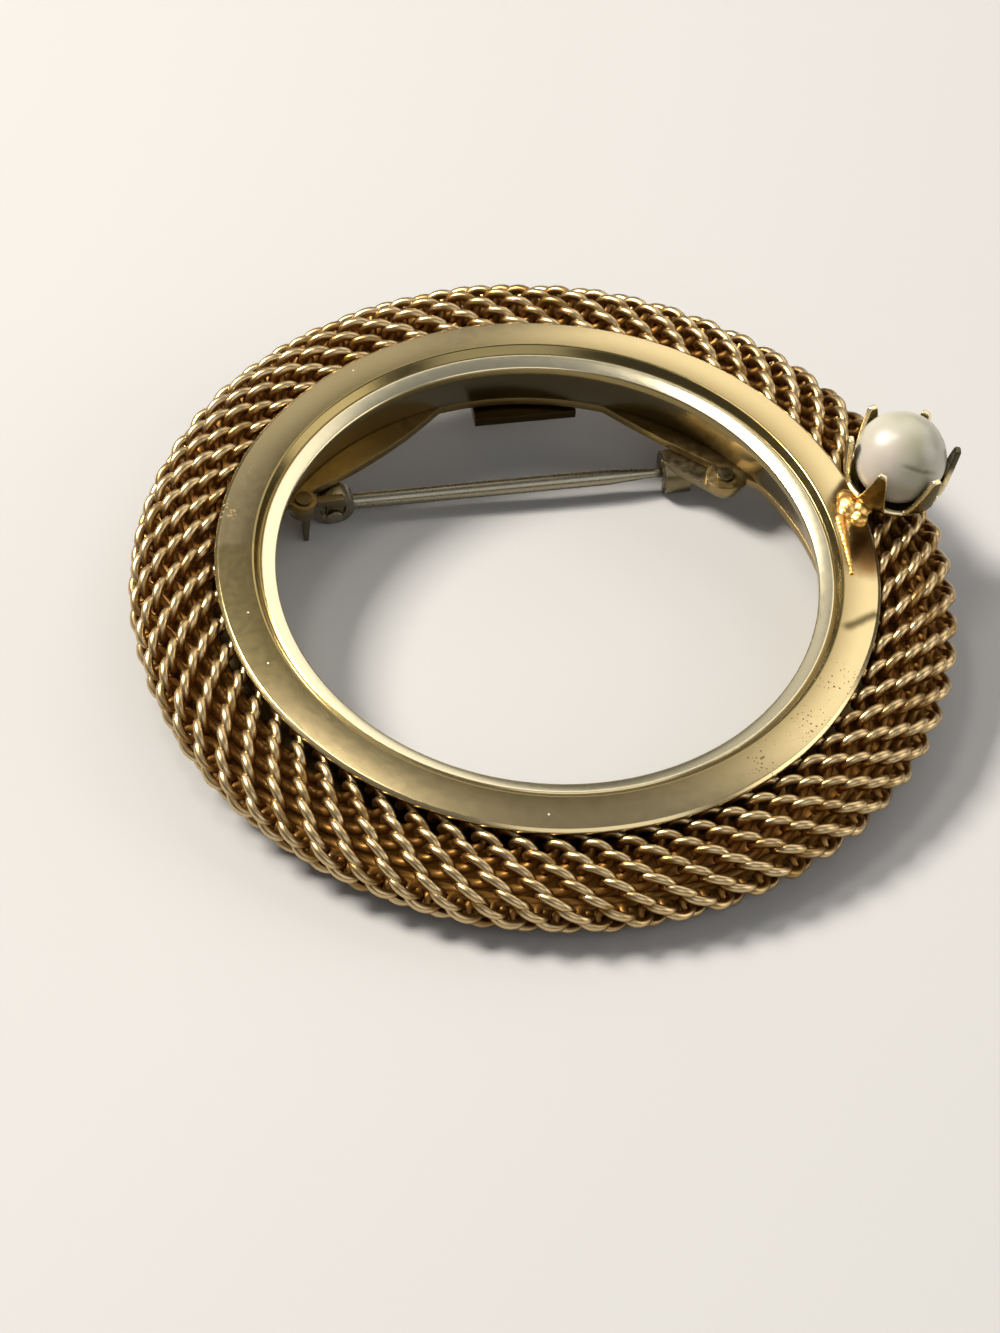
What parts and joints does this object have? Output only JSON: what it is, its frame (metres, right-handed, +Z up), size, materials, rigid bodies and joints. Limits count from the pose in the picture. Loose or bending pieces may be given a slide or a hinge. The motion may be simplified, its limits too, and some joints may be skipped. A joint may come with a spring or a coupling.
{
  "type": "wreath brooch",
  "caption": "Round open brooch: a puffed band of woven metal mesh on a flat stamped bezel, a pearl in a pronged cup on one side and a hinged pin with a turning safety catch at the back.",
  "frame": {"origin": "on the surface that the brooch lies on, under the middle of its box", "axes": "+Z up from that surface, +X along the pin from its hinge to its catch, +Y towards the raised far side that carries the pin"},
  "size_m": [0.0406, 0.0398, 0.0101],
  "materials": {
    "bezel_gold": "satin gold plate",
    "mesh_gold": "polished antiqued gold-plated wire",
    "back_gold": "plain gold plate",
    "findings_metal": "dull gold plate",
    "pin_steel": "drawn wire",
    "pearl": "pearl lustre"
  },
  "bodies": {
    "wreath": {"bezel_ring": "bezel_gold", "mesh_band": "mesh_gold", "back_ring": "back_gold", "hinge_base": "findings_metal", "hinge_rivet": "pin_steel", "catch": "findings_metal", "pearl": "pearl"},
    "pin": {"pin_stem": "pin_steel"},
    "lock": {"catch_lock": "findings_metal"}
  },
  "joints": [
    {"name": "pin_hinge", "type": "hinge", "parent": "wreath", "child": "pin", "pos_m": [-0.00898, 0.00983, 0.00113], "axis": [0, 0.9962, 0.0868], "range_deg": [0, 80]},
    {"name": "lock_turn", "type": "hinge", "parent": "wreath", "child": "lock", "pos_m": [0.00832, 0.00983, 0.00113], "axis": [-1, 0, 0], "range_deg": [0, 90]}
  ]
}
